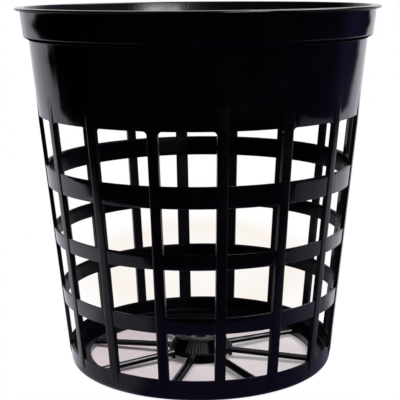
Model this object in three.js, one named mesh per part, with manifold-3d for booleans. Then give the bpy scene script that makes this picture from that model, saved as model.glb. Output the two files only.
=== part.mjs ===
// Net pot: a tapered, round, open-work plant pot moulded in black plastic.
// Millimetres, +Z up, origin on the pot's axis at the height of the surface that it stands on.

import * as THREE from 'three';
import { mergeVertices } from 'three/addons/utils/BufferGeometryUtils.js';
import Module from 'manifold-3d';

const wasm = await Module();
wasm.setup();

// Driving dimensions of the whole pot
const HEIGHT = 151.5;
const RIM_RADIUS = 75;
const FOOT_RADIUS = 56.1; // radius of the wall's cone where it would meet the floor
const TAPER = 0.0985; // radius gained for each millimetre of height
const WALL = 1.4; // wall thickness
const BAYS = 16; // windows in each row, with a rib between each pair
const GAP = 0.3; // clearance between one member and the next

// Rim, collar and upper wall
const LIP_THICK = 1.1;
const LIP_ROOT = 1.6; // depth of the lip where it turns down into the collar
const LIP_FILLET = 0.45;
const COLLAR_TOP_RADIUS = 72.9;
const COLLAR_TAPER = 0.093;
const SHOULDER_SLOPE = THREE.MathUtils.degToRad(30); // slant of the shoulder below the collar
const SHOULDER_ROUND = 1;
const WALL_TOP = 138.3;
const WALL_BOTTOM = 108;

// Hoops between the rows of windows, from the top one down
const HOOPS = [
  { name: 'hoop_upper', middle: 83.2, tall: 8.8 },
  { name: 'hoop_middle', middle: 57.8, tall: 6.2 },
  { name: 'hoop_lower', middle: 32, tall: 6.8 },
];
const HOOP_EDGE = 0.35; // chamfer along a hoop's edges

// Ribs
const RIB_PROUD = 0.6; // how far a rib stands out of the wall
const RIB_INNER_WIDTH = 4.3;
const RIB_OUTER_WIDTH = 4.1;
const BROAD_RIB = 6; // one rib is broader than the others
const BROAD_BY = 1.3;
const RIB_TOP = 117;
const RIB_TOP_RAMP = 4.5;
const RIB_FOOT = 4.4;
const RIB_FOOT_RAMP = 2.5;
const SEAT_DEPTH = 0.7; // depth of the seats that the ribs lie in
const SEAT_REACH = 2; // how far the space cut for a seat goes out beyond the wall

// Base ring
const BASE_TOP = 9.2;
const BASE_WALL = 1.7;
const BASE_ROUND = 3;
const FLANGE_TOP = 3.2;
const FLANGE_INNER = 48.2;

// Spokes of the floor
const SPOKES = 8;
const SPOKE_WIDE = 3.6;
const SPOKE_THICK = 1.1;
const RIDGE_WIDE = 1.2;
const RIDGE_CREST = 0.8; // width of the ridge's top
const RIDGE_TALL = 0.9;
const SPOKE_RISE = 1.2; // climb from the base ring to the hub
const SPOKE_UNDERSIDE = 1.2; // height of a spoke's underside at the base ring

// Hub: a ring on short feet, fluted legs with plain webs between them, and a raised plate with drain holes
const HUB_RADIUS = 14;
const HUB_BORE = 7.4;
const HUB_BOTTOM = SPOKE_UNDERSIDE + SPOKE_RISE;
const HUB_TOP = 4.3;
const HUB_ROUND = 0.6;
const HUB_FEET = 4;
const HUB_FOOT_BOTTOM = 0.2;
const HUB_FOOT_SPAN = THREE.MathUtils.degToRad(44);
const LEGS = 4;
const LEG_SPAN = THREE.MathUtils.degToRad(46);
const LEG_TURN = THREE.MathUtils.degToRad(7.5); // turn of the legs from the spokes
const LEG_FOOT_RADIUS = 13.5;
const LEG_HEAD_RADIUS = 10;
const LEG_THICK = 1.3;
const LEG_FLUTES = 7;
const FLUTE_DEPTH = 0.35;
const WEB_INSET = 0.5; // how far a web lies behind the legs beside it
const PLATE_BOTTOM = 8.9;
const PLATE_TOP = 10;
const PLATE_RADIUS = 10.6;
const PLATE_TURN = THREE.MathUtils.degToRad(45); // turn of the circle of drain holes
const PLATE_HOLES = 6;
const PLATE_HOLE_RADIUS = 2.2;
const PLATE_HOLE_CIRCLE = 5.6;
const EYELET_RADIUS = 0.8; // small hole in the plate between each pair of legs
const EYELET_CIRCLE = 9.2;

// Steps of the round forms
const RING_STEPS = 64;
const HUB_STEPS = 48;
const EDGE_STEPS = 2;
const ROUND_STEPS = 6;
const FLUTE_STEPS = 4;
const HOLE_STEPS = 10;
const TURN = 2 * Math.PI;
const SAME_POINT = 1e-4; // corners nearer than this are one corner

const plastic = { metalness: 0 };
const glossBlack = new THREE.MeshStandardMaterial({ ...plastic, color: 0x0b0b0d, roughness: 0.28 });
const satinBlack = new THREE.MeshStandardMaterial({ ...plastic, color: 0x101012, roughness: 0.38 });

const pot = new THREE.Group();
pot.name = 'net_pot';

// Outer radius of the tapered wall at height z
function wallRadius(z) {
  return FOOT_RADIUS + TAPER * z;
}

// Outer radius of the collar at height z
function collarRadius(z) {
  return COLLAR_TOP_RADIUS - COLLAR_TAPER * (HEIGHT - LIP_ROOT - z);
}

// Points of an arc in a profile, from one angle in degrees to another
function arc(r, z, radius, from, to, steps) {
  const points = [];
  for (let i = 0; i <= steps; i++) {
    const a = THREE.MathUtils.degToRad(from + ((to - from) * i) / steps);
    points.push([r + radius * Math.cos(a), z + radius * Math.sin(a)]);
  }
  return points;
}

// Ring turned about Z from a closed profile of [radius, height], listed anticlockwise
function turned(profile, steps = RING_STEPS) {
  const points = profile.map(([r, z]) => new THREE.Vector2(r, z));
  points.push(points[0].clone());
  return new THREE.LatheGeometry(points, steps).rotateX(Math.PI / 2);
}

// Outline of [radius, height] thickened along Y, centred on the XZ plane
function plate(outline, thick) {
  const shape = new THREE.Shape(outline.map(([x, z]) => new THREE.Vector2(x, z)));
  const options = { depth: thick, bevelEnabled: false, steps: 1 };
  return new THREE.ExtrudeGeometry(shape, options).translate(0, 0, -thick / 2).rotateX(Math.PI / 2);
}

// Point at a radius and an angle about the axis
function polar(radius, angle) {
  return new THREE.Vector2(radius * Math.cos(angle), radius * Math.sin(angle));
}

// Round hole in a flat shape
function roundHole(centre, radius) {
  return new THREE.Path().absarc(centre.x, centre.y, radius, 0, TURN);
}

// Closed solid for cutting, from a geometry with its shared corners merged
function solidOf(geometry) {
  const bare = geometry.clone();
  bare.deleteAttribute('normal');
  bare.deleteAttribute('uv');
  const merged = mergeVertices(bare, SAME_POINT);
  const kept = [];
  const index = merged.index.array;
  for (let i = 0; i < index.length; i += 3) {
    const [a, b, c] = [index[i], index[i + 1], index[i + 2]];
    if (a !== b && b !== c && c !== a) kept.push(a, b, c);
  }
  const vertProperties = new Float32Array(merged.attributes.position.array);
  const mesh = new wasm.Mesh({ numProp: 3, vertProperties, triVerts: new Uint32Array(kept) });
  return new wasm.Manifold(mesh);
}

// Geometry of a cut solid
function geometryOf(solid) {
  const mesh = solid.getMesh();
  const geometry = new THREE.BufferGeometry();
  geometry.setAttribute('position', new THREE.BufferAttribute(new Float32Array(mesh.vertProperties), 3));
  geometry.setIndex(new THREE.BufferAttribute(new Uint32Array(mesh.triVerts), 1));
  geometry.computeVertexNormals();
  return geometry;
}

// Geometry with each of the cutters taken out of it
function cut(geometry, cutters) {
  let solid = solidOf(geometry);
  for (const cutter of cutters) solid = solid.subtract(solidOf(cutter));
  return geometryOf(solid);
}

function add(name, geometry, material, angle = 0) {
  const mesh = new THREE.Mesh(geometry, material);
  mesh.name = name;
  mesh.rotation.z = angle;
  pot.add(mesh);
}

function ribAngle(number) {
  return ((number - 1) * TURN) / BAYS;
}

function ribScale(number) {
  return number === BROAD_RIB ? BROAD_BY : 1;
}

// Narrows a rib a little from its inside face to its outside face, as a moulded rib is
function draft(geometry, scale, spread) {
  const position = geometry.attributes.position;
  for (let i = 0; i < position.count; i++) {
    const depth = position.getX(i) - wallRadius(position.getZ(i)) + WALL;
    const share = depth / (WALL + RIB_PROUD);
    const width = THREE.MathUtils.lerp(RIB_INNER_WIDTH, RIB_OUTER_WIDTH, share) * scale;
    position.setY(i, Math.sign(position.getY(i)) * (width / 2 + spread));
  }
  return geometry;
}

// Rib: runs from the base ring to the upper wall, and is notched where it crosses the hoops
function ribGeometry(scale) {
  const shallow = GAP - SEAT_DEPTH;
  const inside = [[RIB_TOP, shallow], [WALL_BOTTOM - GAP, shallow], [WALL_BOTTOM - GAP, -WALL]];
  for (const hoop of HOOPS) {
    const top = hoop.middle + hoop.tall / 2 + GAP;
    const bottom = hoop.middle - hoop.tall / 2 - GAP;
    inside.push([top, -WALL], [top, shallow], [bottom, shallow], [bottom, -WALL]);
  }
  inside.push([BASE_TOP + GAP, -WALL], [BASE_TOP + GAP, shallow], [RIB_FOOT, shallow]);
  const outside = [
    [RIB_FOOT, 0],
    [RIB_FOOT + RIB_FOOT_RAMP, RIB_PROUD],
    [RIB_TOP - RIB_TOP_RAMP, RIB_PROUD],
    [RIB_TOP, 0],
  ];
  const outline = [...inside, ...outside].map(([z, out]) => [wallRadius(z) + out, z]);
  return draft(plate(outline, RIB_INNER_WIDTH), scale, 0);
}

// Space that a rib needs in the members that it lies in, at the rib's place
function ribSeat(number) {
  const bottom = RIB_FOOT - GAP;
  const top = RIB_TOP + GAP;
  const outline = [
    [wallRadius(bottom) - SEAT_DEPTH, bottom],
    [wallRadius(bottom) + SEAT_REACH, bottom],
    [wallRadius(top) + SEAT_REACH, top],
    [wallRadius(top) - SEAT_DEPTH, top],
  ];
  const seat = plate(outline, RIB_INNER_WIDTH);
  return draft(seat, ribScale(number), GAP).rotateZ(ribAngle(number));
}

const ribNumbers = Array.from({ length: BAYS }, (_, i) => i + 1);
const ribSeats = ribNumbers.map(ribSeat);

// Rim lip: a thin flange with a rounded edge, turned out from the collar through a fillet
function rimLip() {
  const half = LIP_THICK / 2;
  const inner = COLLAR_TOP_RADIUS - WALL;
  const edge = arc(RIM_RADIUS - half, HEIGHT - half, half, -90, 90, ROUND_STEPS);
  const bore = arc(inner + half, HEIGHT - half, half, 90, 180, EDGE_STEPS);
  return turned([
    [inner, HEIGHT - LIP_ROOT],
    [COLLAR_TOP_RADIUS, HEIGHT - LIP_ROOT],
    [COLLAR_TOP_RADIUS + LIP_FILLET, HEIGHT - LIP_THICK],
    ...edge,
    ...bore,
  ]);
}

// Collar: the wider band under the lip, with the sloping shoulder that turns in to the wall
function collar() {
  const top = HEIGHT - LIP_ROOT - GAP;
  const bottom = WALL_TOP + GAP;
  const seam = wallRadius(bottom);
  const climb = Math.tan(SHOULDER_SLOPE);
  const from = THREE.MathUtils.radToDeg(SHOULDER_SLOPE) - 90;
  // arc that joins the slope through a point of the seam to the collar's face
  const turnUp = (start, height, face, round) => {
    const reach = face - round + round * Math.sin(SHOULDER_SLOPE);
    const middle = height + (reach - start) * climb + round * Math.cos(SHOULDER_SLOPE);
    return arc(face - round, middle, round, from, 0, EDGE_STEPS);
  };
  const face = collarRadius(bottom + WALL);
  const inside = bottom - WALL * climb + WALL / Math.cos(SHOULDER_SLOPE);
  return turned([
    [seam - WALL, bottom],
    [seam, bottom],
    ...turnUp(seam, bottom, face, SHOULDER_ROUND),
    [collarRadius(top), top],
    [collarRadius(top) - WALL, top],
    ...turnUp(seam - WALL, inside, face - WALL, SHOULDER_ROUND / 2).reverse(),
    [seam - WALL, inside],
  ]);
}

// Band of the tapered wall between two heights, with chamfered edges
function wallBand(bottom, top, edge) {
  const out = [
    [bottom, -edge],
    [bottom + edge, 0],
    [top - edge, 0],
    [top, -edge],
    [top, edge - WALL],
    [top - edge, -WALL],
    [bottom + edge, -WALL],
    [bottom, edge - WALL],
  ];
  return turned(out.map(([z, offset]) => [wallRadius(z) + offset, z]));
}

// Base ring: rounded foot, short wall and a flange that carries the floor
function baseRing() {
  const foot = wallRadius(BASE_ROUND) - BASE_ROUND;
  const profile = [
    [FLANGE_INNER, 0],
    ...arc(foot, BASE_ROUND, BASE_ROUND, -90, 0, ROUND_STEPS),
    [wallRadius(BASE_TOP), BASE_TOP],
    [wallRadius(BASE_TOP) - BASE_WALL, BASE_TOP],
    [wallRadius(FLANGE_TOP) - BASE_WALL, FLANGE_TOP],
    [FLANGE_INNER, FLANGE_TOP],
  ];
  return cut(turned(profile), ribSeats);
}

// Spoke: a flat bar with a ridge along its top, climbing gently from base ring to hub
function spoke() {
  const inner = HUB_RADIUS + GAP;
  const outer = FLANGE_INNER - GAP;
  const length = outer - inner;
  const half = SPOKE_WIDE / 2;
  const ridge = RIDGE_WIDE / 2;
  const crest = RIDGE_CREST / 2;
  const top = SPOKE_THICK + RIDGE_TALL;
  const section = [
    [-half, 0],
    [half, 0],
    [half, SPOKE_THICK],
    [ridge, SPOKE_THICK],
    [crest, top],
    [-crest, top],
    [-ridge, SPOKE_THICK],
    [-half, SPOKE_THICK],
  ];
  const bar = plate(section, length).rotateZ(Math.PI / 2).translate((inner + outer) / 2, 0, 0);
  const position = bar.attributes.position;
  for (let i = 0; i < position.count; i++) {
    const climb = (SPOKE_RISE * (outer - position.getX(i))) / length;
    position.setZ(i, position.getZ(i) + SPOKE_UNDERSIDE + climb);
  }
  return bar;
}

// Hub ring: a flat ring with a rounded upper edge, open in the middle
function hubRing() {
  const rise = HUB_TOP - HUB_ROUND;
  return turned([
    [HUB_BORE, HUB_BOTTOM],
    [HUB_RADIUS, HUB_BOTTOM],
    ...arc(HUB_RADIUS - HUB_ROUND, rise, HUB_ROUND, 0, 90, EDGE_STEPS),
    [HUB_BORE, HUB_TOP],
  ], HUB_STEPS);
}

// Hub foot: a short curved pad under the hub ring
function hubFoot() {
  const half = HUB_FOOT_SPAN / 2;
  const outside = [-half, 0, half].map((angle) => polar(HUB_RADIUS, angle));
  const inside = [half, 0, -half].map((angle) => polar(HUB_RADIUS - WALL, angle));
  const options = { depth: HUB_BOTTOM - GAP - HUB_FOOT_BOTTOM, bevelEnabled: false, steps: 1 };
  const pad = new THREE.ExtrudeGeometry(new THREE.Shape([...outside, ...inside]), options);
  return pad.translate(0, 0, HUB_FOOT_BOTTOM);
}

// Angle of a hub foot: in the middle of every second space between the spokes
function hubFootAngle(number) {
  return TURN / SPOKES / 2 + ((number - 1) * TURN) / HUB_FEET;
}

// Panel of the hub's cone between the ring and the plate, with flutes of some depth on its outside
function hubPanel(span, foot, fluteDepth) {
  const steps = FLUTE_STEPS * LEG_FLUTES;
  const outside = [];
  const inside = [];
  for (let i = 0; i <= steps; i++) {
    const angle = span * (i / steps - 0.5);
    const flute = fluteDepth * Math.sin((Math.PI * i) / FLUTE_STEPS) ** 2;
    outside.push(polar(foot - flute, angle));
    if (i % FLUTE_STEPS === 0) inside.unshift(polar(foot - LEG_THICK, angle));
  }
  const tall = PLATE_BOTTOM - HUB_TOP - 2 * GAP;
  const options = { depth: tall, bevelEnabled: false, steps: 1 };
  const panel = new THREE.ExtrudeGeometry(new THREE.Shape([...outside, ...inside]), options);
  const position = panel.attributes.position;
  for (let i = 0; i < position.count; i++) {
    const share = position.getZ(i) / tall;
    const size = THREE.MathUtils.lerp(1, LEG_HEAD_RADIUS / LEG_FOOT_RADIUS, share);
    position.setX(i, position.getX(i) * size);
    position.setY(i, position.getY(i) * size);
  }
  return panel.translate(0, 0, HUB_TOP + GAP);
}

// Hub leg: a fluted panel that carries the plate
function hubLeg() {
  return hubPanel(LEG_SPAN, LEG_FOOT_RADIUS, FLUTE_DEPTH);
}

// Hub web: a plain panel that closes the space between two legs
function hubWeb() {
  const clear = GAP / (LEG_HEAD_RADIUS - WEB_INSET - LEG_THICK);
  return hubPanel(TURN / LEGS - LEG_SPAN - 2 * clear, LEG_FOOT_RADIUS - WEB_INSET, 0);
}

function legAngle(number) {
  return LEG_TURN + ((number - 1) * TURN) / LEGS;
}

// Hub plate: a raised disc with a circle of drain holes, and an eyelet between each pair of legs
function hubPlate() {
  const shape = new THREE.Shape().absarc(0, 0, PLATE_RADIUS, 0, TURN);
  for (let i = 0; i < PLATE_HOLES; i++) {
    const angle = PLATE_TURN + (TURN * i) / PLATE_HOLES;
    shape.holes.push(roundHole(polar(PLATE_HOLE_CIRCLE, angle), PLATE_HOLE_RADIUS));
  }
  for (let number = 1; number <= LEGS; number++) {
    shape.holes.push(roundHole(polar(EYELET_CIRCLE, legAngle(number + 0.5)), EYELET_RADIUS));
  }
  const options = { depth: PLATE_TOP - PLATE_BOTTOM, bevelEnabled: false, curveSegments: HOLE_STEPS };
  return new THREE.ExtrudeGeometry(shape, options).translate(0, 0, PLATE_BOTTOM);
}

add('rim_lip', rimLip(), glossBlack);
add('collar', collar(), glossBlack);
add('upper_wall', cut(wallBand(WALL_BOTTOM, WALL_TOP, HOOP_EDGE), ribSeats), glossBlack);
for (const { name, middle, tall } of HOOPS) {
  const band = wallBand(middle - tall / 2, middle + tall / 2, HOOP_EDGE);
  add(name, cut(band, ribSeats), glossBlack);
}
for (const number of ribNumbers) {
  const name = `rib_${String(number).padStart(2, '0')}`;
  add(name, ribGeometry(ribScale(number)), glossBlack, ribAngle(number));
}
add('base_ring', baseRing(), glossBlack);
for (let i = 0; i < SPOKES; i++) add(`spoke_${i + 1}`, spoke(), satinBlack, (TURN * i) / SPOKES);
add('hub_ring', hubRing(), satinBlack);
for (let i = 1; i <= HUB_FEET; i++) add(`hub_foot_${i}`, hubFoot(), satinBlack, hubFootAngle(i));
for (let i = 1; i <= LEGS; i++) {
  add(`hub_leg_${i}`, hubLeg(), satinBlack, legAngle(i));
  add(`hub_web_${i}`, hubWeb(), satinBlack, legAngle(i + 0.5));
}
add('hub_plate', hubPlate(), satinBlack);

export default pot;
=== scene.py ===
import math

import bmesh
import bpy
from mathutils import Matrix, Vector


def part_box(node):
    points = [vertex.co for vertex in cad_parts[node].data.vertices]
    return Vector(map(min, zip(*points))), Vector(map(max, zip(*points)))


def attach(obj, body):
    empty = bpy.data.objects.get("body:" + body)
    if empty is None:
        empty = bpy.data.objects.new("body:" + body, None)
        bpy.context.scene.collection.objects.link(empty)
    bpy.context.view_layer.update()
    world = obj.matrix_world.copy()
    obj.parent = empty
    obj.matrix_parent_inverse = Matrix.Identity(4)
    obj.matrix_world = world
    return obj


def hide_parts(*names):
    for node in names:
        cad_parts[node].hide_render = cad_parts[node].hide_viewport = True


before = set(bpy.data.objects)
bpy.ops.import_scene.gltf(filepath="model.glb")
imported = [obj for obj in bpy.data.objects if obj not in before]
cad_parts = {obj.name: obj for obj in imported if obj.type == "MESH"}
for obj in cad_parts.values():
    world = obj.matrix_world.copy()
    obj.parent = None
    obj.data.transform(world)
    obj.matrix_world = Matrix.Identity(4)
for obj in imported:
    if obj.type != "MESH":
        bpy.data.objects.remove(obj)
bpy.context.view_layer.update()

MM = 0.001
TURN = 2 * math.pi
UP = Vector((0, 0, 1))


def low(node):
    """Lowest corner of a CAD node, in millimetres."""
    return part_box(node)[0] / MM


def high(node):
    """Highest corner of a CAD node, in millimetres."""
    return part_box(node)[1] / MM


# Wall and hoops, in millimetres; values that name a CAD node are measured on it
FOOT_RADIUS = 56.1
TAPER = 0.0985
WALL = 1.4
BAYS = 16
WALL_BOTTOM = low("upper_wall").z
HOOPS = ("hoop_upper", "hoop_middle", "hoop_lower")
EDGE = 0.25  # rounding of most edges
CREST = 0.1  # rounding of the crisper edges
DRAFT = 0.45  # fall of a hoop's top towards the inside
CORNER = 1.8  # radius of the upper corners of the windows

# Lip, collar and shoulder
RIM_RADIUS = high("rim_lip").x
HEIGHT = high("rim_lip").z
LIP_THICK = 1.1
LIP_ROOT = HEIGHT - low("rim_lip").z
LIP_ROUND = 0.45 * LIP_THICK
LIP_FILLET = 0.45
COLLAR_TOP_RADIUS = 72.9
COLLAR_TAPER = 0.093
SHOULDER = low("collar").z
SHOULDER_SLOPE = math.radians(30)
SHOULDER_ROUND = 1.0
SHOULDER_FILLET = 0.5
SEAM_FILLET = 0.15

# Ribs
RIB_FOOT = low("rib_01").z
RIB_TOP = high("rib_01").z
RIB_PROUD = 0.4  # how far the outside stands out of the wall
RIB_BACK = 0.04  # how far the inside stays short of the wall's
RIB_INNER_WIDTH = high("rib_01").y - low("rib_01").y
RIB_OUTER_WIDTH = 4.1
RIB_CROWN = 0.06  # fall of the outside from its middle to its edges
RIB_CORNER = 0.25  # further fall close to the edges
RIB_SQUARENESS = 10  # power that keeps the further fall close to the edges
RIB_FOOT_RAMP = 2.5
RIB_TOP_RAMP = 12.0
BROAD_RIB = 6
BROAD_BY = 1.3

# Base ring and floor
BASE_TOP = high("base_ring").z
BASE_WALL = 1.7
BASE_ROUND = 3.0
FLANGE_TOP = 3.2
FLANGE_INNER = 48.2
FLANGE_ROUND = 0.4
FLANGE_FILLET = 1.0
SPOKES = 8
SPOKE_WIDE = high("spoke_1").y - low("spoke_1").y
SPOKE_THICK = 1.1
SPOKE_SIDE = 0.4  # height of the upright sides under the domed top
SPOKE_LET_IN = 0.8  # how far the ends run into the base ring and the hub
RIDGE_TALL = 0.9
SPOKE_OUTER = high("spoke_1").x
SPOKE_INNER = low("spoke_1").x
SPOKE_FOOT = low("spoke_1").z
SPOKE_RISE = high("spoke_1").z - SPOKE_FOOT - SPOKE_THICK - RIDGE_TALL

# Hub
HUB_RADIUS = high("hub_ring").x
HUB_BOTTOM = low("hub_ring").z
HUB_TOP = high("hub_ring").z
HUB_BORE = 7.4
HUB_EDGE = 0.3
HUB_ROUND = 0.6
HUB_BORE_ROUND = 0.4
HUB_LET_IN = 0.5  # how far feet, legs and webs run into what they meet
HUB_FEET = 4
HUB_FOOT_BOTTOM = low("hub_foot_1").z
HUB_FOOT_SPAN = math.radians(44)
LEGS = 4
LEG_SPAN = math.radians(46)
LEG_TURN = math.radians(7.5)
LEG_FOOT_RADIUS = 13.5
LEG_HEAD_RADIUS = 10.0
LEG_THICK = 1.3
LEG_FLUTES = 7
FLUTE_DEPTH = 0.35
WEB_INSET = 0.5
PLATE_BOTTOM = low("hub_plate").z
PLATE_TOP = high("hub_plate").z
PLATE_RADIUS = high("hub_plate").x
PLATE_TURN = math.radians(45)
PLATE_HOLES = 6
PLATE_HOLE_RADIUS = 2.2
PLATE_HOLE_CIRCLE = 5.6
PLATE_EDGE = 0.3
EYELET_RADIUS = 0.8
EYELET_CIRCLE = 9.2

# Fineness of the meshes: steps round a ring, over a curve or along a length
RING_STEPS = 12 * BAYS
CORNER_STEPS = 6
BAY_STEPS = 4
CROWN_STEPS = 24
RIB_FOOT_STEPS = 4
RIB_BODY_STEPS = 20
RIB_TOP_STEPS = 10
DOME_STEPS = 16
SPOKE_STEPS = 8
HUB_STEPS = 96
HUB_FOOT_STEPS = 8
FLUTE_STEPS = 8
LEG_STEPS = 6
HOLE_STEPS = 48
HOLE_EDGE_STEPS = 4
SHARP_ANGLE = math.radians(35)

# Sides of a piece: least share of a face's normal that points to the axis, or up or down
INWARD = 0.5
UPRIGHT = 0.5

# Camera, from the photograph: millimetres and degrees, turned about the axis from -Y towards +X
IMAGE = 400
CAMERA_DISTANCE = 452.0
CAMERA_SIDE = 0.2
CAMERA_HEIGHT = 162.9
CAMERA_TURN = math.radians(14.9)
CAMERA_PITCH = math.radians(11.7)
CAMERA_ROLL = math.radians(-0.47)
FOCAL_PIXELS = 1076.0
SENSOR = 36.0
FRONT = Vector((math.sin(CAMERA_TURN), -math.cos(CAMERA_TURN), 0))
RIGHT = Vector((math.cos(CAMERA_TURN), math.sin(CAMERA_TURN), 0))

# Outline of the table, in millimetres to the right of the axis and in front of it; the wall mirrors it
TABLE_CORNERS = (
    (-291, 38), (-135, 160), (-72, 126), (217, 102), (370, 130), (390, -100), (485, -300), (590, -450),
    (750, -780), (1810, -3000), (-2249, -3000), (-799, -446), (-620, -210), (-486, -144),
)
TABLE_DROP = 0.05  # how far it lies below the foot

# The table to the camera: lit near the axis, white further out, and a warm painted shade in an ellipse
# behind the pot
TABLE_LIT_RADIUS = 50.0
TABLE_WHITE_RADIUS = 55.0
WARM_BEHIND = 160.0  # from the axis to the middle of the ellipse
WARM_WIDE = 150.0
WARM_DEEP = 260.0
# Share of the warm painted shade by the square of the way out to the ellipse's edge
WARM_BY_SPREAD = ((0.0, 0.4), (0.5, 0.8), (1.0, 0.0))
# Painted light: share of white under the pot by millimetres to the right
PAINTED_LIGHT_BY_RIGHT = ((-30, 0.0), (30, 0.25))

# The table in reflections, a painted reflection that glows: stops of brightness by millimetres in front or
# to the right, or by azimuth
MIRRORED_BY_FRONT = ((-300, 0.85), (0, 0.95), (100, 1.0), (170, 0.6), (300, 0.4))
MIRRORED_BY_RIGHT = (
    (-100, 1.0), (0, 0.7), (60, 0.25), (100, 0.5), (124, 0.55), (234, 0.75), (400, 0.6), (600, 1.0),
)
MIRRORED_BY_AZIMUTH = (
    (-180, 1.0), (-80, 1.0), (-74, 0.9), (-68, 0.45), (-34, 0.4), (-25, 0.0),
    (45, 0.0), (62, 0.25), (70, 0.4), (95, 0.6), (112, 1.0), (180, 1.0),
)
BEHIND_RIGHT_BY_AZIMUTH = ((-180, 0.0), (95, 0.0), (112, 1.2), (150, 1.2), (180, 1.0))

# The room: stops of brightness by azimuth and by elevation in degrees
BACKDROP_BY_AZIMUTH = (
    (-180, 1.0), (-150, 0.9), (-138, 0.5), (-122, 0.0), (132, 0.0), (144, 1.0), (180, 1.0),
)
BACKDROP_BY_ELEVATION = ((-2, 0.0), (0, 1.0), (18, 1.0), (26, 0.0))
OVERHEAD_BY_ELEVATION = ((45, 0.0), (60, 0.9))
ROOM_BY_AZIMUTH = (
    (-180, 0.0), (60, 0.0), (100, 0.03), (117, 0.14), (130, 0.06), (140, 0.0), (180, 0.0),
)
ROOM_BY_ELEVATION = ((-40, 0.15), (-32, 0.12), (-28, 0.0))

# Colours of the studio
WHITE = (1, 1, 1, 1)
# warm painted shade on the table behind the pot
WARM_PAINTED_SHADE = (0.95, 0.87, 0.81, 1)
TABLE_COLOUR = (0.78, 0.68, 0.71, 1)
TABLE_ROUGHNESS = 0.8
# glow of the table in reflections, a painted reflection, and its faint bluish painted shade
MIRRORED_COLOUR = (1.0, 0.95, 0.97, 1)
MIRRORED_SHADE = (0.06, 0.05, 0.15, 1)
BACKDROP_COLOUR = (1.0, 0.96, 0.97, 1)
ROOM_COLOUR = (0.4, 0.33, 1.0, 1)

# Blacks of the plastic, and the lighter ones of its rubbed edges; the lit blacks are lighter copies that
# paint light
DEEP_BLACK = (0.0012, 0.0011, 0.002)
DEEP_RUBBED = (0.004, 0.0037, 0.005)
# rubbed edges of the shaded copy, which paints shade
PAINTED_SHADE_RUBBED = (0.006, 0.0055, 0.008)
# lit copy for the shell's inside, lighter to paint light there
LIT_INSIDE_BLACK = (0.004, 0.0038, 0.005)
LIT_INSIDE_RUBBED = (0.01, 0.0095, 0.012)
# lit copy for the hub's legs and plate, lighter to paint the light on them
LIT_SATIN_BLACK = (0.016, 0.0155, 0.018)
LIT_SATIN_RUBBED = (0.035, 0.034, 0.038)
CLOUD_LIFT = 1.6  # how much lighter the cloudy patches are


def wall_radius(z):
    """Outer radius of the tapered wall at a height."""
    return FOOT_RADIUS + TAPER * z


def collar_radius(z):
    """Outer radius of the collar at a height."""
    return COLLAR_TOP_RADIUS - COLLAR_TAPER * (HEIGHT - LIP_ROOT - z)


def rib_angle(number):
    """Angle of a rib about the axis; half numbers are the middles of the bays."""
    return TURN * (number - 1) / BAYS


def rib_scale(number):
    """How much wider a rib is than most."""
    return BROAD_BY if number == BROAD_RIB else 1.0


def leg_angle(number):
    """Angle of a leg of the hub about the axis; half numbers are the webs between them."""
    return LEG_TURN + TURN * (number - 1) / LEGS


def polar(radius, angle):
    """Point in the plane at a radius and an angle about the axis."""
    return Vector((radius * math.cos(angle), radius * math.sin(angle)))


def spaced(start, end, steps):
    """Values from start to end in equal steps, with both ends."""
    return [start + (end - start) * k / steps for k in range(steps + 1)]


def even_angles(count):
    """Angles all round the axis in equal steps."""
    return [TURN * k / count for k in range(count)]


# Outlines


def rounded(corners, steps=5, spacing=6.0):
    """Closed outline from (x, y, radius) corners: arcs at the corners, points along the long straights."""
    count = len(corners)
    arcs = []
    for i, (x, y, radius) in enumerate(corners):
        here = Vector((x, y))
        back = (Vector(corners[i - 1][:2]) - here).normalized()
        ahead = (Vector(corners[(i + 1) % count][:2]) - here).normalized()
        half = back.angle(ahead) / 2
        centre = here + (back + ahead).normalized() * radius / math.sin(half)
        reach = radius / math.tan(half)
        start = here + back * reach - centre
        sweep = start.angle_signed(here + ahead * reach - centre)
        arcs.append([centre + Matrix.Rotation(-turn, 2) @ start for turn in spaced(0, sweep, steps)])
    outline = []
    for arc, following in zip(arcs, arcs[1:] + arcs[:1]):
        outline += arc
        gap = following[0] - arc[-1]
        pieces = max(1, round(gap.length / spacing))
        outline += [arc[-1] + gap * k / pieces for k in range(1, pieces)]
    return outline


def window_angles(radius):
    """Angles round the wall: close together at the upper corners of the windows, wider between them."""
    beside = RIB_OUTER_WIDTH / 2
    curve = [CORNER * (1 - math.cos(turn)) for turn in spaced(0, math.pi / 2, CORNER_STEPS)[1:]]
    between = spaced(beside + CORNER, math.pi / BAYS * radius, BAY_STEPS)[1:-1]
    angles = []
    for number in range(1, BAYS + 1):
        edge = beside * rib_scale(number)
        offsets = [edge / 2, edge, *[edge + offset for offset in curve], *between]
        angles += [rib_angle(number) - offset / radius for offset in reversed(offsets)]
        angles.append(rib_angle(number))
        angles += [rib_angle(number) + offset / radius for offset in offsets]
        angles.append(rib_angle(number + 0.5))
    return angles


def corner_drop(radius, angle):
    """How far the edge above a window comes down in its rounded upper corners."""
    place = angle * BAYS / TURN
    nearest = round(place)
    beside = abs(place - nearest) * TURN / BAYS * radius
    clear = beside - RIB_OUTER_WIDTH / 2 * rib_scale(nearest % BAYS + 1)
    short = CORNER - min(max(clear, 0.0), CORNER)
    return CORNER - math.sqrt(CORNER**2 - short**2)


def scallop(r, z, angle):
    """Bends the wall's lower edge down into the corners of the windows beneath it."""
    share = max(0.0, 1 - (z - WALL_BOTTOM) / (2 * CORNER))
    drop = corner_drop(r, angle) * share
    return r - TAPER * drop, z - drop


# Meshes


def revolve(outline, angles, bend=None):
    """Closed outline of (radius, height) turned about the axis, and bent at each angle."""
    vertices = []
    for angle in angles:
        for r, z in outline:
            if bend:
                r, z = bend(r, z, angle)
            vertices.append(Vector((*polar(r, angle), z)))
    rows, columns = len(outline), len(angles)
    faces = []
    for i in range(columns):
        here, ahead = i * rows, (i + 1) % columns * rows
        for j in range(rows):
            above = (j + 1) % rows
            faces.append((here + j, ahead + j, ahead + above, here + above))
    return vertices, faces


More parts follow.
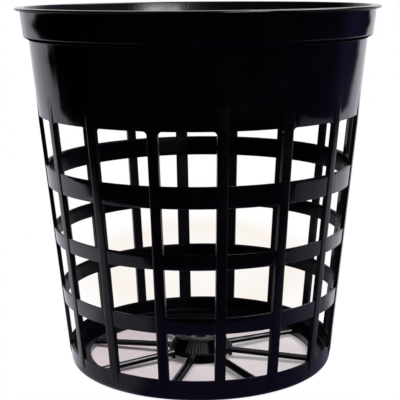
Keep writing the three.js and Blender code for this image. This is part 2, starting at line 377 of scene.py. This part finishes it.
def loft(sections):
    """Solid through closed sections with equal numbers of points, capped at both ends."""
    count = len(sections[0])
    vertices = [point for section in sections for point in section]
    last = len(vertices) - count
    faces = [tuple(reversed(range(count))), tuple(range(last, last + count))]
    for start in range(0, last, count):
        for j in range(count):
            k = (j + 1) % count
            faces.append((start + j, start + k, start + count + k, start + count + j))
    return vertices, faces


def turned_about_axis(shape, angle):
    """The same shape at another angle about the axis."""
    vertices, faces = shape
    spin = Matrix.Rotation(angle, 3, "Z")
    return [spin @ vertex for vertex in vertices], faces


def side_of(face):
    """Which way a face is turned: to the axis, up, down or outwards."""
    middle = face.calc_center_median().xy
    if -face.normal.xy.dot(middle) > INWARD * middle.length:
        return "inside"
    if abs(face.normal.z) > UPRIGHT:
        return "top" if face.normal.z > 0 else "beneath"
    return "outside"


def piece(name, shape, finishes, slot, *nodes):
    """Makes a smooth piece that stands for its CAD nodes; a side without a finish has the outside's."""
    vertices, faces = shape
    sides = list(finishes)
    mesh = bpy.data.meshes.new(name)
    mesh.from_pydata([vertex * MM for vertex in vertices], [], faces)
    work = bmesh.new()
    work.from_mesh(mesh)
    bmesh.ops.recalc_face_normals(work, faces=work.faces)
    for face in work.faces:
        face.smooth = True
        side = side_of(face)
        face.material_index = sides.index(side if side in sides else "outside")
    work.to_mesh(mesh)
    work.free()
    mesh.set_sharp_from_angle(angle=SHARP_ANGLE)
    for finish in finishes.values():
        mesh.materials.append(finish)
    made = bpy.data.objects.new(name, mesh)
    bpy.context.scene.collection.objects.link(made)
    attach(made, "root")
    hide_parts(*nodes)


# Shapes of the wall


def shell_shape():
    """Rim lip, collar, sloping shoulder and upper wall as one continuous moulding."""
    under_lip = HEIGHT - LIP_THICK
    seam = wall_radius(SHOULDER)
    face = collar_radius(SHOULDER + WALL)
    rise = (face - seam) * math.tan(SHOULDER_SLOPE)
    inside = SHOULDER + WALL / math.cos(SHOULDER_SLOPE) - WALL * math.tan(SHOULDER_SLOPE)
    outline = rounded([
        (wall_radius(WALL_BOTTOM), WALL_BOTTOM, EDGE),
        (seam, SHOULDER, SEAM_FILLET),
        (face, SHOULDER + rise, SHOULDER_ROUND),
        (collar_radius(under_lip), under_lip, LIP_FILLET),
        (RIM_RADIUS, under_lip, LIP_ROUND),
        (RIM_RADIUS, HEIGHT, LIP_ROUND),
        (COLLAR_TOP_RADIUS - WALL, HEIGHT, LIP_ROUND),
        (face - WALL, inside + rise, SHOULDER_FILLET),
        (seam - WALL, inside, SHOULDER_ROUND),
        (wall_radius(WALL_BOTTOM) - WALL, WALL_BOTTOM, EDGE),
    ])
    return revolve(outline, window_angles(wall_radius(WALL_BOTTOM)), scallop)


def hoop_shape(bottom, top):
    """Flat hoop of the tapered wall with softened edges."""
    outline = rounded([
        (wall_radius(bottom), bottom, EDGE),
        (wall_radius(top), top, CREST),
        (wall_radius(top) - WALL, top - DRAFT, EDGE),
        (wall_radius(bottom) - WALL, bottom, EDGE),
    ], spacing=2.0)
    return revolve(outline, even_angles(RING_STEPS))


def rib_section(scale, proud):
    """Outline of a rib across its length, as (across, out): flat inside, softly crowned outside."""
    inner, outer = RIB_INNER_WIDTH / 2 * scale, RIB_OUTER_WIDTH / 2 * scale
    back = RIB_BACK - WALL
    section = [Vector((-inner, back)), Vector((inner, back))]
    for share in spaced(1, -1, CROWN_STEPS):
        fall = RIB_CROWN * share**2 + RIB_CORNER * share**RIB_SQUARENESS
        section.append(Vector((outer * share, proud * (1 - fall / RIB_PROUD))))
    return section


def rib_shape(number):
    """Rib that stands out of the wall, and sinks into it at both ends."""
    lower, upper = RIB_FOOT + RIB_FOOT_RAMP, RIB_TOP - RIB_TOP_RAMP
    heights = spaced(RIB_FOOT, lower, RIB_FOOT_STEPS)
    heights += spaced(lower, upper, RIB_BODY_STEPS)[1:]
    heights += spaced(upper, RIB_TOP, RIB_TOP_STEPS)[1:]
    sections = []
    for z in heights:
        foot = min(1.0, (z - RIB_FOOT) / RIB_FOOT_RAMP)
        head = min(1.0, (RIB_TOP - z) / RIB_TOP_RAMP)
        proud = RIB_PROUD * math.sin(foot * math.pi / 2) * (1 - math.cos(head * math.pi)) / 2
        section = rib_section(rib_scale(number), proud)
        sections.append([Vector((wall_radius(z) + out, across, z)) for across, out in section])
    return turned_about_axis(loft(sections), rib_angle(number))


def base_ring_shape():
    """Rounded foot, short wall and the flange that carries the floor."""
    outline = rounded([
        (FLANGE_INNER, 0, FLANGE_ROUND),
        (wall_radius(0), 0, BASE_ROUND),
        (wall_radius(BASE_TOP), BASE_TOP, CREST),
        (wall_radius(BASE_TOP) - WALL, BASE_TOP - DRAFT, EDGE),
        (wall_radius(FLANGE_TOP) - BASE_WALL, FLANGE_TOP, FLANGE_FILLET),
        (FLANGE_INNER, FLANGE_TOP, EDGE),
    ], steps=8, spacing=1.5)
    return revolve(outline, even_angles(RING_STEPS))


# Shapes of the floor


def spoke_shape(number):
    """Bar of the floor with a domed top, let into the base ring and the hub."""
    half, dome = SPOKE_WIDE / 2, SPOKE_THICK + RIDGE_TALL - SPOKE_SIDE
    section = []
    for turn in spaced(0, math.pi, DOME_STEPS):
        section.append(Vector((half * math.cos(turn), SPOKE_SIDE + dome * math.sin(turn))))
    section += [Vector((-half, 0)), Vector((half, 0))]
    sections = []
    for x in spaced(SPOKE_INNER - SPOKE_LET_IN, SPOKE_OUTER + SPOKE_LET_IN, SPOKE_STEPS):
        rise = SPOKE_FOOT + SPOKE_RISE * (SPOKE_OUTER - x) / (SPOKE_OUTER - SPOKE_INNER)
        sections.append([Vector((x, -across, up + rise)) for across, up in section])
    return turned_about_axis(loft(sections), TURN * (number - 1) / SPOKES)


def hub_ring_shape():
    """Flat ring with rounded edges, open in the middle."""
    outline = rounded([
        (HUB_BORE, HUB_BOTTOM, HUB_EDGE),
        (HUB_RADIUS, HUB_BOTTOM, HUB_EDGE),
        (HUB_RADIUS, HUB_TOP, HUB_ROUND),
        (HUB_BORE, HUB_TOP, HUB_BORE_ROUND),
    ], spacing=2.0)
    return revolve(outline, even_angles(HUB_STEPS))


def hub_foot_shape(number):
    """Short curved pad under the hub ring, in the middle of every second space between the spokes."""
    inner, top = HUB_RADIUS - WALL, HUB_BOTTOM + HUB_LET_IN
    section = rounded([
        (inner, HUB_FOOT_BOTTOM, HUB_EDGE),
        (HUB_RADIUS, HUB_FOOT_BOTTOM, HUB_EDGE),
        (HUB_RADIUS, top, CREST),
        (inner, top, CREST),
    ])
    sections = []
    for angle in spaced(-HUB_FOOT_SPAN / 2, HUB_FOOT_SPAN / 2, HUB_FOOT_STEPS):
        sections.append([Vector((*polar(r, angle), z)) for r, z in section])
    return turned_about_axis(loft(sections), TURN / SPOKES / 2 + TURN * (number - 1) / HUB_FEET)


def hub_panel_shape(span, foot, flute_depth, angle):
    """Panel of the hub's cone between its ring and its plate, with flutes of some depth on its outside."""
    plan = []
    for share in spaced(0, 1, FLUTE_STEPS * LEG_FLUTES):
        flute = flute_depth * math.sin(math.pi * LEG_FLUTES * share) ** 2
        plan.append(polar(foot - flute, span * (share - 0.5)))
    for share in spaced(1, 0, 2 * LEG_FLUTES):
        plan.append(polar(foot - LEG_THICK, span * (share - 0.5)))
    start, end = HUB_TOP - HUB_LET_IN, PLATE_BOTTOM + HUB_LET_IN
    sections = []
    for share in spaced(0, 1, LEG_STEPS):
        size = 1 + (LEG_HEAD_RADIUS / LEG_FOOT_RADIUS - 1) * share
        z = start + (end - start) * share
        sections.append([Vector((*(point * size), z)) for point in plan])
    return turned_about_axis(loft(sections), angle)


def hub_leg_shape(number):
    """Fluted panel that carries the plate."""
    return hub_panel_shape(LEG_SPAN, LEG_FOOT_RADIUS, FLUTE_DEPTH, leg_angle(number))


def hub_web_shape(number):
    """Plain panel that closes the space between two legs."""
    span = TURN / LEGS - LEG_SPAN
    return hub_panel_shape(span, LEG_FOOT_RADIUS - WEB_INSET, 0.0, leg_angle(number + 0.5))


def soft_edge(radius, side):
    """Profile of (radius, height) up the plate's edge, rounded at both ends; side is -1 in a hole."""
    lower = []
    for turn in spaced(0, math.pi / 2, HOLE_EDGE_STEPS):
        back, up = PLATE_EDGE * (1 - math.sin(turn)), PLATE_EDGE * (1 - math.cos(turn))
        lower.append((radius - side * back, PLATE_BOTTOM + up))
    upper = [(r, PLATE_TOP + PLATE_BOTTOM - z) for r, z in reversed(lower)]
    return lower + upper


def plate_rims():
    """Outer rim, drain holes and eyelets of the plate, as (centre, radius, side)."""
    rims = [(Vector((0, 0)), PLATE_RADIUS, 1)]
    for k in range(PLATE_HOLES):
        angle = PLATE_TURN + TURN * k / PLATE_HOLES
        rims.append((polar(PLATE_HOLE_CIRCLE, angle), PLATE_HOLE_RADIUS, -1))
    for number in range(1, LEGS + 1):
        rims.append((polar(EYELET_CIRCLE, leg_angle(number + 0.5)), EYELET_RADIUS, -1))
    return rims


def edges_of(work, loop):
    """Edges between the neighbours in a closed loop of vertices."""
    return [work.edges.get((loop[k - 1], loop[k])) for k in range(len(loop))]


def hub_plate_shape():
    """Raised disc with a circle of drain holes, and an eyelet between each pair of legs."""
    work = bmesh.new()
    bottom, top = [], []
    for centre, radius, side in plate_rims():
        loops = []
        for r, z in soft_edge(radius, side):
            circle = [centre + polar(r, angle) for angle in even_angles(HOLE_STEPS)]
            loops.append([work.verts.new((*point, z)) for point in circle])
        for lower, upper in zip(loops, loops[1:]):
            for k in range(HOLE_STEPS):
                work.faces.new((lower[k - 1], lower[k], upper[k], upper[k - 1]))
        bottom += edges_of(work, loops[0])
        top += edges_of(work, loops[-1])
    for edges in (bottom, top):
        bmesh.ops.triangle_fill(work, edges=edges, use_beauty=True)
    work.verts.index_update()
    vertices = [vertex.co.copy() for vertex in work.verts]
    faces = [tuple(vertex.index for vertex in face.verts) for face in work.faces]
    work.free()
    return vertices, faces


# Material nodes


def add_node(tree, kind, feeds=(), **settings):
    """Shader node with its settings; each feed is an input's value or another node's output."""
    made = tree.nodes.new(kind)
    for name, value in settings.items():
        setattr(made, name, value)
    for key, value in dict(feeds).items():
        if isinstance(value, bpy.types.NodeSocket):
            tree.links.new(value, made.inputs[key])
        else:
            made.inputs[key].default_value = value
    return made


def math_node(tree, operation, first, second=0.0):
    """Math node on one or two values, each a socket or a number."""
    made = add_node(tree, "ShaderNodeMath", {0: first, 1: second}, operation=operation)
    return made.outputs["Value"]


def noise(tree, vector, scale, detail, stretch=(1, 1, 1)):
    """Noise of about 1/scale metres a spot, drawn out along the axes by the stretch."""
    mapping = add_node(tree, "ShaderNodeMapping", {"Vector": vector, "Scale": stretch})
    feeds = {"Vector": mapping.outputs["Vector"], "Scale": scale, "Detail": detail}
    return add_node(tree, "ShaderNodeTexNoise", feeds).outputs["Fac"]


def ramp(tree, value, stops):
    """Colour ramp through (place, grey or colour) stops."""
    made = add_node(tree, "ShaderNodeValToRGB", {"Fac": value})
    elements = made.color_ramp.elements
    while len(elements) < len(stops):
        elements.new(1.0)
    for element, (place, shade) in zip(elements, stops):
        element.position = place
        element.color = (*shade, 1) if isinstance(shade, tuple) else (shade, shade, shade, 1)
    return made.outputs["Color"]


def measured(tree, value, stops):
    """Brightness by a measured value: stops of (measure, brightness)."""
    start, end = stops[0][0], stops[-1][0]
    feeds = {"Value": value, "From Min": start, "From Max": end}
    share = add_node(tree, "ShaderNodeMapRange", feeds).outputs["Result"]
    return ramp(tree, share, [((place - start) / (end - start), level) for place, level in stops])


def along(tree, vector, axis):
    """Part of a vector along an axis."""
    made = add_node(tree, "ShaderNodeVectorMath", {0: vector, 1: axis}, operation="DOT_PRODUCT")
    return made.outputs["Value"]


def azimuth(tree, vector):
    """Angle about the axis in degrees from the camera's side, positive to the right."""
    angle = math_node(tree, "ARCTAN2", along(tree, vector, RIGHT), along(tree, vector, FRONT))
    return math_node(tree, "DEGREES", angle)


def elevation(tree, vector):
    """Angle above the horizon in degrees of a direction."""
    return math_node(tree, "DEGREES", math_node(tree, "ARCSINE", along(tree, vector, UP)))


def bump(tree, height, strength, distance, under=None):
    """Normal bent by a height, on top of another bump if there is one."""
    feeds = {"Height": height, "Strength": strength, "Distance": distance}
    if under:
        feeds["Normal"] = under
    return add_node(tree, "ShaderNodeBump", feeds).outputs["Normal"]


def mix_colours(tree, share, first, second):
    """From the first colour at a share of 0 to the second at 1."""
    feeds = {"Factor": share, "A": first, "B": second}
    return add_node(tree, "ShaderNodeMix", feeds, data_type="RGBA").outputs["Result"]


def mix_shaders(tree, share, first, second):
    """From the first shader at a share of 0 to the second at 1."""
    return add_node(tree, "ShaderNodeMixShader", {"Fac": share, 1: first, 2: second}).outputs["Shader"]


def add_shaders(tree, first, second):
    """Both shaders together."""
    return add_node(tree, "ShaderNodeAddShader", {0: first, 1: second}).outputs["Shader"]


def emission(tree, colour, strength=1.0):
    """Surface that shines by itself."""
    return add_node(tree, "ShaderNodeEmission", {"Color": colour, "Strength": strength}).outputs["Emission"]


def background(tree, colour, strength=1.0):
    """Surroundings that shine."""
    feeds = {"Color": colour, "Strength": strength}
    return add_node(tree, "ShaderNodeBackground", feeds).outputs["Background"]


def ray_is(tree, kind):
    """1 for rays of a kind, such as Camera or Glossy, and 0 for others."""
    return add_node(tree, "ShaderNodeLightPath").outputs[f"Is {kind} Ray"]


# Plastic


def moulded_black(name, dark, rubbed, smooth, rough, specular):
    """Black polypropylene with flow streaks up the wall, grain, dull handled patches and rubbed edges."""
    material = bpy.data.materials.new(name)
    material.use_nodes = True
    tree = material.node_tree
    shader = tree.nodes["Principled BSDF"]
    shader.inputs["Specular IOR Level"].default_value = specular
    place = add_node(tree, "ShaderNodeTexCoord").outputs["Object"]
    clouds = noise(tree, place, scale=70, detail=4)
    streaks = noise(tree, place, scale=230, detail=3, stretch=(1, 1, 0.07))
    grain = noise(tree, place, scale=2600, detail=2)

    edges = add_node(tree, "ShaderNodeNewGeometry").outputs["Pointiness"]
    worn = ramp(tree, edges, [(0.53, 0.0), (0.62, 1.0)])
    clouded = ramp(tree, clouds, [(0.35, dark), (0.7, tuple(CLOUD_LIFT * part for part in dark))])
    tree.links.new(mix_colours(tree, worn, clouded, (*rubbed, 1)), shader.inputs["Base Color"])

    streaked = ramp(tree, streaks, [(0.3, smooth), (0.7, rough)])
    handled = ramp(tree, clouds, [(0.5, 0.0), (0.75, 0.08)])
    tree.links.new(math_node(tree, "ADD", streaked, handled), shader.inputs["Roughness"])

    waves = bump(tree, streaks, strength=0.15, distance=0.6 * MM)
    skin = bump(tree, grain, strength=0.05, distance=0.1 * MM, under=waves)
    tree.links.new(skin, shader.inputs["Normal"])
    return material


# Studio


def room_light(tree):
    """White backdrop low behind the pot and light overhead, in a dim bluish room."""
    direction = add_node(tree, "ShaderNodeTexCoord").outputs["Generated"]
    around = azimuth(tree, direction)
    height = elevation(tree, direction)
    behind = measured(tree, around, BACKDROP_BY_AZIMUTH)
    standing = measured(tree, height, BACKDROP_BY_ELEVATION)
    overhead = measured(tree, height, OVERHEAD_BY_ELEVATION)
    light = math_node(tree, "ADD", math_node(tree, "MULTIPLY", behind, standing), overhead)
    beneath = measured(tree, height, ROOM_BY_ELEVATION)
    to_right = measured(tree, around, ROOM_BY_AZIMUTH)
    dim = math_node(tree, "MAXIMUM", beneath, to_right)
    return add_shaders(tree, background(tree, BACKDROP_COLOUR, light), background(tree, ROOM_COLOUR, dim))


def make_world():
    """The room's light on the pot, and plain white to the camera."""
    world = bpy.data.worlds.new("studio")
    bpy.context.scene.world = world
    world.use_nodes = True
    tree = world.node_tree
    tree.nodes.clear()
    shown = mix_shaders(tree, ray_is(tree, "Camera"), room_light(tree), background(tree, WHITE))
    add_node(tree, "ShaderNodeOutputWorld", {"Surface": shown})


def table_white(tree, position):
    """White of the table, with a warm painted shade in a soft ellipse behind the pot."""
    across = along(tree, position, RIGHT / (WARM_WIDE / 2 * MM))
    ahead = along(tree, position, FRONT / (WARM_DEEP / 2 * MM))
    deep = math_node(tree, "ADD", ahead, WARM_BEHIND / (WARM_DEEP / 2))
    squares = [math_node(tree, "MULTIPLY", part, part) for part in (across, deep)]
    warm_shade_share = measured(tree, math_node(tree, "ADD", *squares), WARM_BY_SPREAD)
    return mix_colours(tree, warm_shade_share, WHITE, WARM_PAINTED_SHADE)


def table_seen(tree, position):
    """The table to the camera: shadowed under the pot, with painted light to the right, and white further
    out.
    """
    lit = tree.nodes["Principled BSDF"]
    lit.inputs["Base Color"].default_value = TABLE_COLOUR
    lit.inputs["Roughness"].default_value = TABLE_ROUGHNESS
    distance = add_node(tree, "ShaderNodeVectorMath", {0: position}, operation="LENGTH").outputs["Value"]
    outside = measured(tree, distance, [(TABLE_LIT_RADIUS * MM, 0.0), (TABLE_WHITE_RADIUS * MM, 1.0)])
    # painted light: the share of white rises to the right under the pot
    painted_light = measured(tree, along(tree, position, RIGHT / MM), PAINTED_LIGHT_BY_RIGHT)
    white_and_painted_light = math_node(tree, "MAXIMUM", outside, painted_light)
    share = math_node(tree, "MULTIPLY", white_and_painted_light, ray_is(tree, "Camera"))
    return mix_shaders(tree, share, lit.outputs["BSDF"], emission(tree, table_white(tree, position)))


def table_mirrored(tree, position):
    """The table in reflections, painted as a glow: bright beside and behind the pot, dark in front, and
    faintly bluish.
    """
    around = azimuth(tree, position)
    by_front = measured(tree, along(tree, position, FRONT / MM), MIRRORED_BY_FRONT)
    by_right = measured(tree, along(tree, position, RIGHT / MM), MIRRORED_BY_RIGHT)
    behind_right = measured(tree, around, BEHIND_RIGHT_BY_AZIMUTH)
    by_azimuth = measured(tree, around, MIRRORED_BY_AZIMUTH)
    brightest = math_node(tree, "MAXIMUM", by_right, behind_right)
    level = math_node(tree, "MULTIPLY", math_node(tree, "MULTIPLY", by_front, brightest), by_azimuth)
    return add_shaders(tree, emission(tree, MIRRORED_COLOUR, level), emission(tree, MIRRORED_SHADE))


def table_material():
    """Pale table with one look to the camera and a painted glow in reflections."""
    material = bpy.data.materials.new("pale_table")
    material.use_nodes = True
    tree = material.node_tree
    position = add_node(tree, "ShaderNodeNewGeometry").outputs["Position"]
    seen = table_seen(tree, position)
    shown = mix_shaders(tree, ray_is(tree, "Glossy"), seen, table_mirrored(tree, position))
    tree.links.new(shown, tree.nodes["Material Output"].inputs["Surface"])
    return material


def make_table():
    """Flat table just under the foot."""
    corners = [(RIGHT * right + FRONT * front - UP * TABLE_DROP) * MM for right, front in TABLE_CORNERS]
    mesh = bpy.data.meshes.new("table")
    mesh.from_pydata(corners, [], [tuple(reversed(range(len(corners))))])
    mesh.materials.append(table_material())
    table = bpy.data.objects.new("table", mesh)
    bpy.context.scene.collection.objects.link(table)


def make_softbox(name, bearing, climb, distance, wide, tall, power):
    """Soft lamp aimed at the foot: degrees round from the camera's side and up, millimetres, and watts."""
    data = bpy.data.lights.new(name, "AREA")
    data.shape = "RECTANGLE"
    data.size = wide * MM
    data.size_y = tall * MM
    data.energy = power
    lamp = bpy.data.objects.new(name, data)
    round_axis, up = math.radians(bearing), math.radians(climb)
    level = FRONT * math.cos(round_axis) + RIGHT * math.sin(round_axis)
    outward = level * math.cos(up) + UP * math.sin(up)
    lamp.location = outward * distance * MM
    lamp.rotation_euler = outward.to_track_quat("Z", "Y").to_euler()
    bpy.context.scene.collection.objects.link(lamp)


def make_camera():
    """Camera that stands where the photograph's stood."""
    data = bpy.data.cameras.new("camera")
    data.sensor_width = SENSOR
    data.lens = SENSOR * FOCAL_PIXELS / IMAGE
    camera = bpy.data.objects.new("camera", data)
    camera.location = (FRONT * CAMERA_DISTANCE + RIGHT * CAMERA_SIDE + UP * CAMERA_HEIGHT) * MM
    about = Matrix.Rotation(CAMERA_TURN, 3, "Z")
    tilt = Matrix.Rotation(math.pi / 2 - CAMERA_PITCH, 3, "X")
    roll = Matrix.Rotation(CAMERA_ROLL, 3, "Z")
    camera.rotation_euler = (about @ tilt @ roll).to_euler()
    bpy.context.scene.collection.objects.link(camera)
    bpy.context.scene.camera = camera


# Finishes, and the sides of a piece that have them; besides the gloss, most are lit or shaded copies of one
# plastic, painting light and shade
gloss = moulded_black(
    "gloss_black_plastic", DEEP_BLACK, DEEP_RUBBED, smooth=0.07, rough=0.15, specular=0.45)
# lit copy: satin, and lighter than the gloss to paint the light that falls on the hub's legs and plate
lit_satin = moulded_black(
    "lit_satin_black_plastic", LIT_SATIN_BLACK, LIT_SATIN_RUBBED, smooth=0.26, rough=0.36, specular=0.4)
# lit copy for the shell's inside: lighter than the gloss as painted light, and rougher
lit_inside = moulded_black(
    "lit_inside_black_plastic", LIT_INSIDE_BLACK, LIT_INSIDE_RUBBED, smooth=0.17, rough=0.24, specular=0.45)
# dimmer copy for the ribs' outsides: rougher, and with less reflection than the gloss, painting the ribs
# darker
rib = moulded_black(
    "rib_black_plastic", DEEP_BLACK, DEEP_RUBBED, smooth=0.17, rough=0.24, specular=0.32)
shaded = moulded_black(
    "shaded_black_plastic", DEEP_BLACK, DEEP_RUBBED, smooth=0.2, rough=0.3, specular=0.0)
# shaded copy with almost no reflection: painted shade on the insides and tops of hoops and base, the ribs'
# insides, and the hub's disc, pads and webs
painted_shade_black = moulded_black(
    "painted_shade_black_plastic", DEEP_BLACK, PAINTED_SHADE_RUBBED, smooth=0.15, rough=0.25, specular=0.04)

shell_finish = {"outside": gloss, "inside": lit_inside, "beneath": shaded}
band_finish = {"outside": gloss, "inside": painted_shade_black, "top": painted_shade_black}
rib_finish = {"outside": rib, "inside": painted_shade_black}
gloss_finish = {"outside": gloss}
lit_satin_finish = {"outside": lit_satin}
painted_shade_finish = {"outside": painted_shade_black}

# Pieces
piece("shell", shell_shape(), shell_finish, "gloss_black", "rim_lip", "collar", "upper_wall")
for hoop in HOOPS:
    piece(f"{hoop}_band", hoop_shape(low(hoop).z, high(hoop).z), band_finish, "gloss_black", hoop)
for number in range(1, BAYS + 1):
    node = f"rib_{number:02d}"
    piece(f"{node}_bar", rib_shape(number), rib_finish, "gloss_black", node)
piece("base_foot", base_ring_shape(), band_finish, "gloss_black", "base_ring")
for number in range(1, SPOKES + 1):
    piece(f"floor_spoke_{number}", spoke_shape(number), gloss_finish, "satin_black", f"spoke_{number}")
piece("hub_disc", hub_ring_shape(), painted_shade_finish, "satin_black", "hub_ring")
for number in range(1, HUB_FEET + 1):
    piece(f"hub_pad_{number}", hub_foot_shape(number), painted_shade_finish, "satin_black", f"hub_foot_{number}")
for number in range(1, LEGS + 1):
    piece(f"fluted_leg_{number}", hub_leg_shape(number), lit_satin_finish, "satin_black", f"hub_leg_{number}")
    piece(f"plain_web_{number}", hub_web_shape(number), painted_shade_finish, "satin_black", f"hub_web_{number}")
piece("drain_plate", hub_plate_shape(), lit_satin_finish, "satin_black", "hub_plate")

# Stage
make_camera()
make_world()
make_table()
make_softbox("back_softbox", bearing=100, climb=58, distance=900, wide=600, tall=600, power=9)
make_softbox("side_window", bearing=28, climb=19, distance=900, wide=420, tall=160, power=3.2)
bpy.context.scene.view_settings.view_transform = "Standard"
